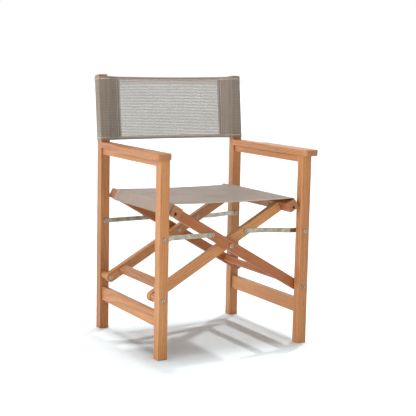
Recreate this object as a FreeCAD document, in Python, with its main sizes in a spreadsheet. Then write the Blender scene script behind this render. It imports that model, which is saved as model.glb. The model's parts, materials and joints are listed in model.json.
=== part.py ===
"""Folding director chair: two wooden side frames, an X-frame of crossing slats between them, a sling
seat, a sling back and four flat metal braces.

Frame: +Z up, +Y to the back, +X to the right as seen from the front, origin on the floor under
the middle of the chair's box. Left and right are named as seen from the front. Every size is a
cell of the sheet "sizes", in millimetres and degrees, and the places that follow from them are
cells of the sheet "places".
"""
import FreeCAD, Part
import math
import os
import Sketcher

doc = FreeCAD.newDocument("director_chair")
sizes = doc.addObject("Spreadsheet::Sheet", "sizes")
places = doc.addObject("Spreadsheet::Sheet", "places")

# ---------------------------------------------------------------- driving dimensions
SIZES = {
    # side frames
    "frame_width": 546,          # outer face of the left legs to outer face of the right legs
    "frame_depth": 480,          # front face of the front legs to back face of the rear legs
    "leg_width": 33,             # across the chair
    "leg_depth": 31,             # front to back
    "leg_edge": 1.6,             # radius that eases the long edges
    "post_edge": 3,              # and the edges of the post's top
    "arm_top": 640,              # height of the arm's upper face
    "arm_thickness": 20,
    "arm_width": 57,
    "arm_overhang": 21,          # outside the leg's outer face
    "arm_nose": 14,              # in front of the front leg
    "arm_corner": 16,            # radius of the front corners, in plan
    "arm_step": 135,             # length at the rear where the arm is no wider than the leg outside
    "arm_edge": 2,
    "arm_rail_height": 22,
    "arm_rail_thickness": 20,
    "stretcher_height": 47,
    "stretcher_thickness": 17,
    "stretcher_level": 99,       # height of its lower edge
    "post_top": 866,             # height of the back post's front top edge
    "post_recline": 6.8,         # lean of the back posts, in degrees
    "dowel_diameter": 10,
    "dowel_depth": 13,           # in each of the two pieces that it joins
    # X-frames
    "pivot_level": 187,          # height of the lower pivots
    "crossing_level": 336,       # height of the crossing pivot when the chair is open
    "slat_width": 32,
    "slat_thickness": 21.5,
    "slat_edge": 1.6,
    "leg_gap": 3,                # leg to the outer slat, filled by a washer or a brace
    "crossing_gap": 10,          # outer slat to inner slat, filled by a spacer
    "rail_clearance": 5.25,      # seat rail's corner to the legs' inner faces
    "rail_width": 34,            # along the slat
    "rail_height": 33,           # square to the slat
    "rail_end_gap": 8,           # rail's end behind the legs' outer faces
    "rail_edge": 2.5,
    "tenon_length": 9,
    "tenon_width": 20,
    "tenon_thickness": 12,
    "overlap": 1,                # how far a tenon's root or a slot's mouth runs past a face
    "crossbar_reach": 51,        # lower pivot to the middle of the crossbar
    "crossbar_width": 27,
    "crossbar_thickness": 20,
    # the seat rail's groove for the edge of the sling
    "groove_diameter": 10,
    "groove_drop": 7,            # below the rail's middle
    "slot_width": 3.2,
    "rod_diameter": 5.6,
    "rod_inset": 14,             # rod end to rail end
    "sling_screw_inset": 41,     # screw to the inner slats' inner faces
    "sling_screw_head": 11,
    "sling_screw_diameter": 4,
    "sling_screw_depth": 11,
    # bolts
    "bolt_diameter": 6,
    "head_diameter": 14,
    "head_height": 2.4,
    "head_bevel": 0.7,
    "socket_width": 5,           # across the flats of the hexagon
    "socket_depth": 2.2,
    "nut_recess": 1.5,           # bolt end below the nut's outer face
    "running_gap": 0.05,         # radial, bolt in its hole
    "face_gap": 0.2,             # between faces that turn on each other
    "spacer_diameter": 25,
    "washer_diameter": 20,
    # braces
    "brace_beyond": 80.8,        # crossing pivot to the brace's bolt, along the slat
    "brace_rise": 2.6,           # from the bolt in the leg up to the one in the slat
    "brace_width": 15,
    "brace_gap": 0.4,            # brace to the faces beside it
    "joggle_start": 38,          # leg bolt to the first bend of a joggled brace
    "joggle_run": 80,            # length over which a joggled brace steps back
    # slings
    "fabric": 1.2,
    "soft_gap": 0.35,            # fabric to wood
    "seat_front_inset": 4,       # rail's front end to the sling's front edge
    "seat_rear_inset": 49,       # rail's rear end to the sling's rear edge
    "seat_sag": 5,
    "back_bottom": 647,
    "back_top": 857,
    "back_seam": 39,             # inner face of the post to the double seam
    "back_panel": 1.5,
    "sleeve_throat": 4,          # from the seam to the start of the sleeve's hollow
}

# ---------------------------------------------------------------- places that follow from them
PLACES = {
    "half_span": "(sizes.frame_width - sizes.leg_width) / 2",
    "slat_angle": "atan((sizes.crossing_level - sizes.pivot_level) / half_span)",
    "crossing_reach": "half_span / cos(slat_angle)",
    "leg_run": "sizes.frame_depth - 2 * sizes.leg_depth",
    "arm_under": "sizes.arm_top - sizes.arm_thickness",
    "post_run": "(sizes.post_top - sizes.arm_top) / cos(sizes.post_recline)",
    "post_rake": "post_run * sin(sizes.post_recline) - sizes.leg_depth * (1 - cos(sizes.post_recline))",
    "sleeve_rake": "(sizes.back_top - sizes.arm_top) * tan(sizes.post_recline) - sizes.leg_depth"
                   " + (sizes.leg_depth + sizes.soft_gap + sizes.fabric) * cos(sizes.post_recline)",
    "total_depth": "sizes.arm_nose + sizes.frame_depth + max(post_rake; sleeve_rake)",
    "mid_depth": "sizes.arm_nose + sizes.frame_depth / 2 - total_depth / 2",
    "leg_offset": "(sizes.frame_depth - sizes.leg_depth) / 2",
    "leg_face": "sizes.frame_depth / 2 - sizes.leg_depth",
    "outer_face": "leg_face - sizes.leg_gap",
    "outer_offset": "outer_face - sizes.slat_thickness / 2",
    "outer_back": "outer_face - sizes.slat_thickness",
    "inner_face": "outer_back - sizes.crossing_gap",
    "inner_offset": "inner_face - sizes.slat_thickness / 2",
    "inner_back": "inner_face - sizes.slat_thickness",
    "rail_span": "2 * half_span - sizes.leg_width / 2 - sizes.rail_clearance",
    "rail_half_extent": "(sizes.rail_width * cos(slat_angle) + sizes.rail_height * sin(slat_angle)) / 2",
    "rail_reach": "(rail_span - rail_half_extent) / cos(slat_angle)",
    "rail_length": "sizes.frame_depth - 2 * sizes.rail_end_gap",
    "seat_depth": "rail_length - sizes.seat_front_inset - sizes.seat_rear_inset",
    "slat_length": "rail_reach - sizes.rail_width / 2",
    "sling_screw_offset": "inner_back - sizes.sling_screw_inset",
    "brace_thickness": "sizes.leg_gap - 2 * sizes.brace_gap",
    "brace_reach": "crossing_reach + sizes.brace_beyond",
    "brace_level": "sizes.pivot_level + brace_reach * sin(slat_angle) - sizes.brace_rise",
    "brace_run": "2 * half_span - brace_reach * cos(slat_angle)",
    "brace_length": "sqrt(brace_run * brace_run + sizes.brace_rise * sizes.brace_rise)",
    "brace_angle": "atan(sizes.brace_rise / brace_run)",
    "hole_radius": "sizes.bolt_diameter / 2 + sizes.running_gap",
}


def fill(sheet, rows):
    """Write one row per name: the name in column A, its value or formula in column B, aliased."""
    for row, (alias, content) in enumerate(rows.items(), start=1):
        sheet.set(f"A{row}", alias)
        sheet.set(f"B{row}", str(content))
        sheet.setAlias(f"B{row}", alias)
        doc.recompute()


fill(sizes, SIZES)
fill(places, {alias: "=" + formula for alias, formula in PLACES.items()})


def amount(expression):
    """The present value of an expression in the two sheets, as a plain number."""
    result = sizes.evalExpression(expression)
    return float(getattr(result, "Value", result))


# ---------------------------------------------------------------- building blocks
STRAIGHT = 0.99              # cosine of the largest turn that still counts as along an axis
STEEP = 0.9                  # the same for legs and posts, which lean
CLOSE = 1                    # an edge this near to a place counts as lying there
NODES = {}


def node(name, piece):
    """Keep a finished sub-part under the name of its file."""
    piece.Label = name
    NODES[name] = piece
    return piece


def place(piece, across, along, up, yaw="0", pitch="0", roll="0"):
    """Bind a piece's Placement: its origin, then its turn about Z, Y and X in that order."""
    where = f"vector({across}; {along}; {up})"
    turn = f"rotation({yaw}; {pitch}; {roll})"
    piece.setExpression("Placement", f"placement({where}; {turn})")


def new_body(name):
    return doc.addObject("PartDesign::Body", name)


def sketch_on(body, role, lift=None):
    """A sketch on one of the body's own origin planes, lifted along its normal if asked."""
    plane = next(f for f in body.Origin.OriginFeatures if f.Role == role)
    sketch = body.newObject("Sketcher::SketchObject", "sketch")
    sketch.AttachmentSupport = [(plane, "")]
    sketch.MapMode = "FlatFace"
    if lift:
        sketch.setExpression(".AttachmentOffset.Base.z", lift)
    return sketch


def bind(sketch, constraint, name, expression):
    index = sketch.addConstraint(constraint)
    sketch.renameConstraint(index, name)
    sketch.setExpression("Constraints." + name, expression)


def polygon(sketch, corners):
    """A closed outline. Each corner is a pair of expressions, from the sketch's origin."""
    points = [FreeCAD.Vector(amount(x), amount(y), 0) for x, y in corners]
    first = sketch.GeometryCount
    count = len(points)
    for i in range(count):
        sketch.addGeometry(Part.LineSegment(points[i], points[(i + 1) % count]), False)
    for i, (across, up) in enumerate(corners):
        line = first + i
        sketch.addConstraint(Sketcher.Constraint("Coincident", line, 2, first + (i + 1) % count, 1))
        bind(sketch, Sketcher.Constraint("DistanceX", -1, 1, line, 1, points[i].x), f"x{line}", across)
        bind(sketch, Sketcher.Constraint("DistanceY", -1, 1, line, 1, points[i].y), f"y{line}", up)


def rectangle(sketch, width, height):
    """A rectangle about the sketch's origin."""
    w, h = f"({width}) / 2", f"({height}) / 2"
    polygon(sketch, [(f"-{w}", f"-{h}"), (w, f"-{h}"), (w, h), (f"-{w}", h)])


def circle(sketch, across, up, radius):
    centre = FreeCAD.Vector(amount(across), amount(up), 0)
    ring = sketch.addGeometry(Part.Circle(centre, FreeCAD.Vector(0, 0, 1), amount(radius)), False)
    bind(sketch, Sketcher.Constraint("DistanceX", -1, 1, ring, 3, centre.x), f"x{ring}", across)
    bind(sketch, Sketcher.Constraint("DistanceY", -1, 1, ring, 3, centre.y), f"y{ring}", up)
    bind(sketch, Sketcher.Constraint("Radius", ring, amount(radius)), f"r{ring}", radius)


def stadium(sketch, length, width, square_end=False):
    """A bar from the origin along +x with a round end at the origin, and one at the other end
    unless that is cut square."""
    run, half = amount(length), amount(width) / 2
    vector = FreeCAD.Vector
    normal = vector(0, 0, 1)
    first = sketch.GeometryCount
    near = Part.Circle(vector(0, 0, 0), normal, half)
    sketch.addGeometry(Part.ArcOfCircle(near, math.pi / 2, 3 * math.pi / 2), False)
    sketch.addGeometry(Part.LineSegment(vector(0, -half, 0), vector(run, -half, 0)), False)
    if square_end:
        sketch.addGeometry(Part.LineSegment(vector(run, -half, 0), vector(run, half, 0)), False)
    else:
        far = Part.Circle(vector(run, 0, 0), normal, half)
        sketch.addGeometry(Part.ArcOfCircle(far, -math.pi / 2, math.pi / 2), False)
    sketch.addGeometry(Part.LineSegment(vector(run, half, 0), vector(0, half, 0)), False)
    arc, lower, end, upper = range(first, first + 4)
    sketch.addConstraint(Sketcher.Constraint("Coincident", arc, 3, -1, 1))
    bind(sketch, Sketcher.Constraint("Radius", arc, half), f"near{first}", f"({width}) / 2")
    sketch.addConstraint(Sketcher.Constraint("Tangent", arc, 2, lower, 1))
    sketch.addConstraint(Sketcher.Constraint("Tangent", upper, 2, arc, 1))
    sketch.addConstraint(Sketcher.Constraint("Horizontal", lower))
    if square_end:
        sketch.addConstraint(Sketcher.Constraint("Coincident", lower, 2, end, 1))
        sketch.addConstraint(Sketcher.Constraint("Coincident", end, 2, upper, 1))
        sketch.addConstraint(Sketcher.Constraint("Horizontal", upper))
        sketch.addConstraint(Sketcher.Constraint("Vertical", end))
        bind(sketch, Sketcher.Constraint("DistanceX", -1, 1, end, 1, run), f"far{first}", length)
    else:
        sketch.addConstraint(Sketcher.Constraint("Tangent", lower, 2, end, 1))
        sketch.addConstraint(Sketcher.Constraint("Tangent", end, 2, upper, 1))
        bind(sketch, Sketcher.Constraint("DistanceX", -1, 1, end, 3, run), f"far{first}", length)
        sketch.addConstraint(Sketcher.Constraint("Horizontal", upper))


def pad(body, sketch, length, both_ways=True, backwards=False):
    feature = body.newObject("PartDesign::Pad", "pad")
    feature.Profile = sketch
    feature.setExpression("Length", length)
    feature.Midplane = both_ways
    feature.Reversed = backwards
    doc.recompute()
    return feature


def pocket(body, sketch, depth=None, backwards=False):
    """Cut a sketch out of the body, right through unless a depth is given."""
    before = body.Shape.Volume
    feature = body.newObject("PartDesign::Pocket", "pocket")
    feature.Profile = sketch
    if depth:
        feature.setExpression("Length", depth)
        feature.Reversed = backwards
    else:
        feature.Type = "ThroughAll"
        feature.Midplane = True
    doc.recompute()
    if body.Shape.Volume >= before:
        raise ValueError(f"a pocket of {body.Name} cuts nothing")
    return feature


def bore(body, role, spots, radius="places.hole_radius"):
    """Round holes right through, square to one of the body's planes."""
    sketch = sketch_on(body, role)
    for across, up in spots:
        circle(sketch, across, up, radius)
    return pocket(body, sketch)


def is_straight(edge):
    return isinstance(edge.Curve, Part.Line)


def ease(body, radius, wanted):
    """Round the straight edges of the body that `wanted` picks by direction and middle."""
    base = body.Tip
    names = []
    for number, edge in enumerate(base.Shape.Edges, start=1):
        if not is_straight(edge):
            continue
        direction = (edge.Vertexes[-1].Point - edge.Vertexes[0].Point).normalize()
        if wanted(direction, edge.CenterOfMass):
            names.append(f"Edge{number}")
    feature = body.newObject("PartDesign::Fillet", "eased")
    feature.Base = (base, names)
    feature.setExpression("Radius", radius)
    doc.recompute()
    return feature


def along_x(direction, middle):
    return abs(direction.x) > STRAIGHT


def along_y(direction, middle):
    return abs(direction.y) > STRAIGHT


def steep(direction, middle):
    return abs(direction.z) > STEEP


# ---------------------------------------------------------------- side frames
def front_leg(side, sign):
    """A straight square leg, up to the underside of the arm."""
    body = new_body("front_leg_" + side)
    outline = sketch_on(body, "XY_Plane")
    rectangle(outline, "sizes.leg_width", "sizes.leg_depth")
    pad(body, outline, "places.arm_under", both_ways=False)
    ease(body, "sizes.leg_edge", steep)
    bore(body, "XZ_Plane", [("0", "sizes.pivot_level"), ("0", "places.brace_level")])
    dowel_hole = sketch_on(body, "XY_Plane", "places.arm_under")
    circle(dowel_hole, "0", "0", "sizes.dowel_diameter / 2")
    pocket(body, dowel_hole, "sizes.dowel_depth")
    place(body, f"{sign} * places.half_span", "places.mid_depth - places.leg_offset", "0")
    node("front_leg_" + side, body)


def rear_leg(side, sign):
    """A leg that goes on above the arm as the back post, leaning back from the arm's height."""
    body = new_body("rear_leg_" + side)
    outline = sketch_on(body, "YZ_Plane")
    front, back = "-sizes.leg_depth / 2", "sizes.leg_depth / 2"
    lean = "sizes.post_recline"
    top_front = f"{front} + places.post_run * sin({lean})"
    polygon(outline, [
        (front, "0"),
        (back, "0"),
        (back, f"sizes.arm_top - sizes.leg_depth * tan({lean} / 2)"),
        (f"{top_front} + sizes.leg_depth * cos({lean})", f"sizes.post_top - sizes.leg_depth * sin({lean})"),
        (top_front, "sizes.post_top"),
        (front, "sizes.arm_top"),
    ])
    pad(body, outline, "sizes.leg_width")
    ease(body, "sizes.leg_edge", steep)
    top = amount("sizes.post_top")
    drop = amount("sizes.leg_depth * sin(sizes.post_recline)")
    ease(body, "sizes.post_edge", lambda direction, middle: middle.z > top - drop - CLOSE)
    bore(body, "XZ_Plane", [("0", "sizes.pivot_level"), ("0", "places.brace_level")])
    dowel_hole = sketch_on(body, "XZ_Plane", "sizes.leg_depth / 2")
    circle(dowel_hole, "0", "sizes.arm_top - sizes.arm_thickness / 2", "sizes.dowel_diameter / 2")
    pocket(body, dowel_hole, "sizes.dowel_depth")
    place(body, f"{sign} * places.half_span", "places.mid_depth + places.leg_offset", "0")
    node("rear_leg_" + side, body)


def arm(side, sign):
    """A flat board, round at its front corners, as narrow outside as the leg along its rear end."""
    body = new_body("arm_" + side)
    outline = sketch_on(body, "XY_Plane")
    outer = f"{sign} * (sizes.leg_width / 2 + sizes.arm_overhang)"
    flush = f"{sign} * sizes.leg_width / 2"
    inner = f"{sign} * (sizes.leg_width / 2 + sizes.arm_overhang - sizes.arm_width)"
    length = "(places.leg_run + sizes.leg_depth + sizes.arm_nose)"
    polygon(outline, [
        (inner, "0"),
        (flush, "0"),
        (flush, "-sizes.arm_step"),
        (outer, "-sizes.arm_step"),
        (outer, f"-{length}"),
        (inner, f"-{length}"),
    ])
    pad(body, outline, "sizes.arm_thickness")
    nose = CLOSE - amount(length)
    half = amount("sizes.arm_thickness") / 2

    def at_nose(direction, middle):
        return steep(direction, middle) and middle.y < nose

    def on_a_face(direction, middle):
        return abs(abs(middle.z) - half) < CLOSE and middle.y < -CLOSE

    ease(body, "sizes.arm_corner", at_nose)
    ease(body, "sizes.arm_edge", on_a_face)
    post_hole = sketch_on(body, "XZ_Plane")
    circle(post_hole, "0", "0", "sizes.dowel_diameter / 2")
    pocket(body, post_hole, "sizes.dowel_depth", backwards=True)
    leg_hole = sketch_on(body, "XY_Plane", "-sizes.arm_thickness / 2")
    circle(leg_hole, "0", "-(places.leg_run + sizes.leg_depth / 2)", "sizes.dowel_diameter / 2")
    pocket(body, leg_hole, "sizes.dowel_depth", backwards=True)
    place(body, f"{sign} * places.half_span", "places.mid_depth + places.leg_face",
          "sizes.arm_top - sizes.arm_thickness / 2")
    node("arm_" + side, body)


def side_board(name, sign, height, thickness, middle_level):
    """A board between the front and the rear leg, in the middle of their width."""
    body = new_body(name)
    outline = sketch_on(body, "XZ_Plane")
    rectangle(outline, thickness, height)
    pad(body, outline, "places.leg_run")
    ease(body, "sizes.leg_edge", along_y)
    place(body, f"{sign} * places.half_span", "places.mid_depth", middle_level)
    node(name, body)


def dowel(name, across, along, up, roll):
    pin = doc.addObject("Part::Cylinder", name)
    pin.setExpression("Radius", "sizes.dowel_diameter / 2")
    pin.setExpression("Height", "2 * sizes.dowel_depth")
    place(pin, across, along, up, roll=roll)
    return pin


def group(name, pieces):
    """Identical pieces of one body as one node of separate solids."""
    compound = doc.addObject("Part::Compound", name)
    compound.Links = pieces
    node(name, compound)


def side_frame(side, sign):
    front_leg(side, sign)
    rear_leg(side, sign)
    arm(side, sign)
    side_board("arm_rail_" + side, sign, "sizes.arm_rail_height", "sizes.arm_rail_thickness",
               "places.arm_under - sizes.arm_rail_height / 2")
    side_board("stretcher_" + side, sign, "sizes.stretcher_height", "sizes.stretcher_thickness",
               "sizes.stretcher_level + sizes.stretcher_height / 2")
    across = f"{sign} * places.half_span"
    group("arm_dowels_" + side, [
        dowel("leg_dowel_" + side, across, "places.mid_depth - places.leg_offset",
              "places.arm_under - sizes.dowel_depth", "0"),
        dowel("post_dowel_" + side, across, "places.mid_depth + places.leg_face - sizes.dowel_depth",
              "sizes.arm_top - sizes.arm_thickness / 2", "-90"),
    ])


# ---------------------------------------------------------------- X-frames
# Frame B hinges on the left legs and rises to the right, between the slats of frame A, which is
# the same frame turned half round. In a frame's own axes x runs up the slats from the lower pivot,
# y runs front to back and z is square to the slats.
FRAMES = {
    "a": {"sign": "1", "yaw": "180", "offset": "places.outer_offset", "back": "places.outer_back"},
    "b": {"sign": "-1", "yaw": "0", "offset": "places.inner_offset", "back": "places.inner_back"},
}


def place_in_frame(piece, frame, reach, depth="0"):
    """Put a piece at a distance up the slats, and at a depth behind the middle of the chair."""
    sign, yaw = FRAMES[frame]["sign"], FRAMES[frame]["yaw"]
    across = f"{sign} * (places.half_span - {reach} * cos(places.slat_angle))"
    up = f"sizes.pivot_level + {reach} * sin(places.slat_angle)"
    place(piece, across, f"places.mid_depth + {depth}", up, yaw, "-places.slat_angle")


def slat(frame, end, direction):
    name = f"slat_{frame}_{end}"
    body = new_body(name)
    outline = sketch_on(body, "XZ_Plane")
    stadium(outline, "places.slat_length", "sizes.slat_width", square_end=True)
    pad(body, outline, "sizes.slat_thickness")
    ease(body, "sizes.slat_edge", along_x)
    tenon = sketch_on(body, "XZ_Plane")
    base, tip = "(places.slat_length - sizes.overlap)", "(places.slat_length + sizes.tenon_length)"
    half = "sizes.tenon_width / 2"
    polygon(tenon, [(base, f"-{half}"), (tip, f"-{half}"), (tip, half), (base, half)])
    pad(body, tenon, "sizes.tenon_thickness")
    bore(body, "XZ_Plane", [("0", "0"), ("places.crossing_reach", "0"), ("places.brace_reach", "0")])
    place_in_frame(body, frame, "0", f"{direction} * {FRAMES[frame]['offset']}")
    node(name, body)


def seat_rail(frame):
    """A square rail over the ends of its two slats, with the groove for the sling's edge."""
    name = "seat_rail_" + frame
    body = new_body(name)
    outline = sketch_on(body, "XZ_Plane")
    rectangle(outline, "sizes.rail_width", "sizes.rail_height")
    pad(body, outline, "places.rail_length")
    ease(body, "sizes.rail_edge", along_y)
    groove = sketch_on(body, "XZ_Plane")
    circle(groove, "0", "-sizes.groove_drop", "sizes.groove_diameter / 2")
    pocket(body, groove)
    slot = sketch_on(body, "XZ_Plane")
    half, mouth = "sizes.slot_width / 2", "-(sizes.rail_height / 2 + sizes.overlap)"
    polygon(slot, [(f"-{half}", mouth), (half, mouth), (half, "-sizes.groove_drop"),
                   (f"-{half}", "-sizes.groove_drop")])
    pocket(body, slot)
    mortises = sketch_on(body, "YZ_Plane", "-sizes.rail_width / 2")
    width, thick = "sizes.tenon_width / 2", "sizes.tenon_thickness / 2"
    for direction in ("-1", "1"):
        middle = f"{direction} * {FRAMES[frame]['offset']}"
        polygon(mortises, [(f"{middle} - {thick}", f"-{width}"), (f"{middle} + {thick}", f"-{width}"),
                           (f"{middle} + {thick}", width), (f"{middle} - {thick}", width)])
    pocket(body, mortises, "sizes.tenon_length", backwards=True)
    screws = sketch_on(body, "YZ_Plane", "-sizes.rail_width / 2")
    for direction in ("-1", "1"):
        circle(screws, f"{direction} * places.sling_screw_offset", "0", "sizes.sling_screw_diameter / 2")
    pocket(body, screws, "sizes.sling_screw_depth", backwards=True)
    place_in_frame(body, frame, "places.rail_reach")
    node(name, body)


def crossbar(frame):
    name = "crossbar_" + frame
    body = new_body(name)
    outline = sketch_on(body, "XZ_Plane")
    rectangle(outline, "sizes.crossbar_width", "sizes.crossbar_thickness")
    pad(body, outline, f"2 * {FRAMES[frame]['back']}")
    ease(body, "sizes.slat_edge", along_y)
    place_in_frame(body, frame, "sizes.crossbar_reach")
    node(name, body)


def rod(frame):
    """The rod in the sling's edge, which can't pass the slot of the groove."""
    name = "sling_rod_" + frame
    bar = doc.addObject("Part::Cylinder", name)
    length = "(places.rail_length - 2 * sizes.rod_inset)"
    bar.setExpression("Radius", "sizes.rod_diameter / 2")
    bar.setExpression("Height", length)
    sign = FRAMES[frame]["sign"]
    reach, drop = "places.rail_reach", "sizes.groove_drop"
    across = (f"{sign} * (places.half_span - {reach} * cos(places.slat_angle)"
              f" - {drop} * sin(places.slat_angle))")
    up = (f"sizes.pivot_level + {reach} * sin(places.slat_angle)"
          f" - {drop} * cos(places.slat_angle)")
    place(bar, across, f"places.mid_depth - {length} / 2", up, roll="-90")
    node(name, bar)


# ---------------------------------------------------------------- bolts, nuts, spacers
def bolt(name, length, head="sizes.head_diameter", shank="sizes.bolt_diameter", socket=True):
    """A bolt down its own Z axis: the head's seat at z = 0, the head above it, the shank below."""
    body = new_body(name)
    half = sketch_on(body, "XZ_Plane")
    rim, stem, top = f"{head} / 2", f"{shank} / 2", "sizes.head_height"
    polygon(half, [
        ("0", f"-({length})"),
        (stem, f"-({length})"),
        (stem, "0"),
        (rim, "0"),
        (rim, f"{top} - sizes.head_bevel"),
        (f"{rim} - sizes.head_bevel", top),
        ("0", top),
    ])
    turn = body.newObject("PartDesign::Revolution", "turned")
    turn.Profile = half
    turn.ReferenceAxis = (half, ["V_Axis"])
    turn.Angle = 360
    doc.recompute()
    if socket:
        hexagon = sketch_on(body, "XY_Plane", top)
        size = "(sizes.socket_width / 2 / cos(30))"
        polygon(hexagon, [(f"{size} * cos({60 * i})", f"{size} * sin({60 * i})") for i in range(6)])
        pocket(body, hexagon, "sizes.socket_depth")
    return body


def nut(name):
    """A flat round nut with a through hole, its seat at z = 0."""
    body = new_body(name)
    half = sketch_on(body, "XZ_Plane")
    rim, top = "sizes.head_diameter / 2", "sizes.head_height"
    polygon(half, [
        ("places.hole_radius", "0"),
        (rim, "0"),
        (rim, f"{top} - sizes.head_bevel"),
        (f"{rim} - sizes.head_bevel", top),
        ("places.hole_radius", top),
    ])
    turn = body.newObject("PartDesign::Revolution", "turned")
    turn.Profile = half
    turn.ReferenceAxis = (half, ["V_Axis"])
    turn.Angle = 360
    doc.recompute()
    return body


def ring(name, outer, length):
    """A spacer or washer round a bolt, from z = 0 up."""
    solid = doc.addObject("Part::Cylinder", name + "_solid")
    solid.setExpression("Radius", f"{outer} / 2")
    solid.setExpression("Height", length)
    hole = doc.addObject("Part::Cylinder", name + "_hole")
    hole.setExpression("Radius", "places.hole_radius")
    hole.setExpression("Height", length)
    cut = doc.addObject("Part::Cut", name)
    cut.Base = solid
    cut.Tool = hole
    return cut


ENDS = {"front": "-1", "rear": "1"}


def outwards(piece, end, across, depth, up):
    """Stand a piece with its Z axis away from the middle of the chair, at a depth from there."""
    direction = ENDS[end]
    roll = "90" if end == "front" else "-90"
    place(piece, across, f"places.mid_depth + {direction} * ({depth})", up, roll=roll)


def inwards(piece, end, across, depth, up):
    """Stand a piece with its Z axis towards the middle of the chair."""
    direction = ENDS[end]
    roll = "-90" if end == "front" else "90"
    place(piece, across, f"places.mid_depth + {direction} * ({depth})", up, roll=roll)


def bolted(name, across, up, head_seat, nut_seat):
    """A bolt and its nut at the front and at the rear, heads outside, as two nodes."""
    bolts, nuts = [], []
    length = f"({head_seat}) - ({nut_seat}) + sizes.head_height - sizes.nut_recess"
    for end in ENDS:
        screw = bolt(f"{name}_bolt_{end}", length)
        outwards(screw, end, across, head_seat, up)
        bolts.append(screw)
        cap = nut(f"{name}_nut_{end}")
        inwards(cap, end, across, nut_seat, up)
        nuts.append(cap)
    group(name + "_bolts", bolts)
    group(name + "_nuts", nuts)


def spacers(name, across, up, outer, outer_depth, inner_depth):
    """A pair of spacers that fill the gap between two depths, front and rear."""
    pair = []
    for end in ENDS:
        spacer = ring(f"{name}_{end}", outer, f"({outer_depth}) - ({inner_depth})")
        inwards(spacer, end, across, outer_depth, up)
        pair.append(spacer)
    group(name, pair)


def pivots():
    level = "sizes.pivot_level"
    outside = "sizes.frame_depth / 2"
    bolted("left_pivot", "-places.half_span", level, outside, "places.inner_back - sizes.face_gap")
    bolted("right_pivot", "places.half_span", level, outside, "places.outer_back - sizes.face_gap")
    bolted("crossing", "0", "sizes.crossing_level", "places.outer_face",
           "places.inner_back - sizes.face_gap")
    spacers("left_pivot_spacers", "-places.half_span", level, "sizes.spacer_diameter",
            "places.leg_face", "places.inner_face + sizes.face_gap")
    spacers("right_pivot_washers", "places.half_span", level, "sizes.washer_diameter",
            "places.leg_face", "places.outer_face + sizes.face_gap")
    spacers("crossing_spacers", "0", "sizes.crossing_level", "sizes.spacer_diameter",
            "places.outer_back", "places.inner_face + sizes.face_gap")


# ---------------------------------------------------------------- braces
def brace_plate(name, joggle):
    """A flat bar with an eye at each end. From the leg's bolt it runs to the slat's, stepping
    towards the middle of the chair by `joggle`. It is cut out of a longer and wider blank."""
    body = new_body(name)
    strip = sketch_on(body, "XY_Plane")
    margin, blank_width = "sizes.brace_width", "3 * sizes.brace_width"
    thick = "places.brace_thickness"
    if joggle == "0":
        polygon(strip, [(f"-{margin}", "0"), (f"places.brace_length + {margin}", "0"),
                        (f"places.brace_length + {margin}", thick), (f"-{margin}", thick)])
    else:
        bend, step_end = "sizes.joggle_start", "(sizes.joggle_start + sizes.joggle_run)"
        far = f"(places.brace_length + {margin})"
        slope = f"(sizes.joggle_run / ({joggle}))"
        shift = f"({thick} / (sqrt({slope} * {slope} + 1) + {slope}))"
        polygon(strip, [
            (f"-{margin}", "0"),
            (f"{bend} + {shift}", "0"),
            (f"{step_end} + {shift}", joggle),
            (far, joggle),
            (far, f"{joggle} + {thick}"),
            (step_end, f"{joggle} + {thick}"),
            (bend, thick),
            (f"-{margin}", thick),
        ])
    pad(body, strip, blank_width)
    trim = sketch_on(body, "XZ_Plane")
    beyond = "2 * sizes.brace_width"
    polygon(trim, [(f"-{beyond}", f"-{beyond}"), (f"places.brace_length + {beyond}", f"-{beyond}"),
                   (f"places.brace_length + {beyond}", beyond), (f"-{beyond}", beyond)])
    stadium(trim, "places.brace_length", "sizes.brace_width")
    pocket(body, trim)
    bore(body, "XZ_Plane", [("0", "0"), ("places.brace_length", "0")])
    return body


def brace(side, end):
    """A brace lies in the gap beside the leg. Its own y axis points to the middle of the chair, so
    the one that needs a half turn about Z to do that is drawn the other way round."""
    name = f"brace_{end}_{side}"
    straight = side == "left"
    step = "0" if straight else "(sizes.slat_thickness + sizes.crossing_gap)"
    body = brace_plate(name, step)
    sign = "-1" if side == "left" else "1"
    depth = "(places.leg_face - sizes.brace_gap)"
    across = f"{sign} * places.half_span"
    along = f"places.mid_depth + {ENDS[end]} * {depth}"
    turns = {
        ("left", "front"): ("0", "-places.brace_angle", "0"),
        ("left", "rear"): ("0", "-places.brace_angle", "180"),
        ("right", "front"): ("180", "-places.brace_angle", "180"),
        ("right", "rear"): ("180", "-places.brace_angle", "0"),
    }
    yaw, pitch, roll = turns[(side, end)]
    place(body, across, along, "places.brace_level", yaw, pitch, roll)
    node(name, body)


def brace_fasteners():
    """Bolts through the legs and the braces' eyes; rivets in the far eyes, flush at their backs;
    and the studs that hold the slats' side of that joint."""
    leg_seat = "sizes.frame_depth / 2"
    behind = "places.leg_face - sizes.brace_gap - places.brace_thickness - sizes.face_gap"
    bolted("left_brace", "-places.half_span", "places.brace_level", leg_seat, behind)
    bolted("right_brace", "places.half_span", "places.brace_level", leg_seat, behind)
    faces = {
        "a": ("places.outer_face", "places.outer_back"),
        "b": ("places.inner_face", "places.inner_back"),
    }
    sides = {"a": "left", "b": "right"}
    for frame, (near, far) in faces.items():
        sign = FRAMES[frame]["sign"]
        across = f"{sign} * (places.half_span - places.brace_reach * cos(places.slat_angle))"
        up = "sizes.pivot_level + places.brace_reach * sin(places.slat_angle)"
        studs, rivets = [], []
        for end in ENDS:
            stud = bolt(f"brace_stud_{frame}_{end}", f"{near} - {far} - sizes.face_gap")
            inwards(stud, end, across, far, up)
            studs.append(stud)
            rivet = bolt(f"brace_rivet_{frame}_{end}", "places.brace_thickness")
            outwards(rivet, end, across, f"{near} + sizes.brace_gap + places.brace_thickness", up)
            rivets.append(rivet)
        group("brace_studs_" + frame, studs)
        group("brace_rivets_" + sides[frame], rivets)


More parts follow.
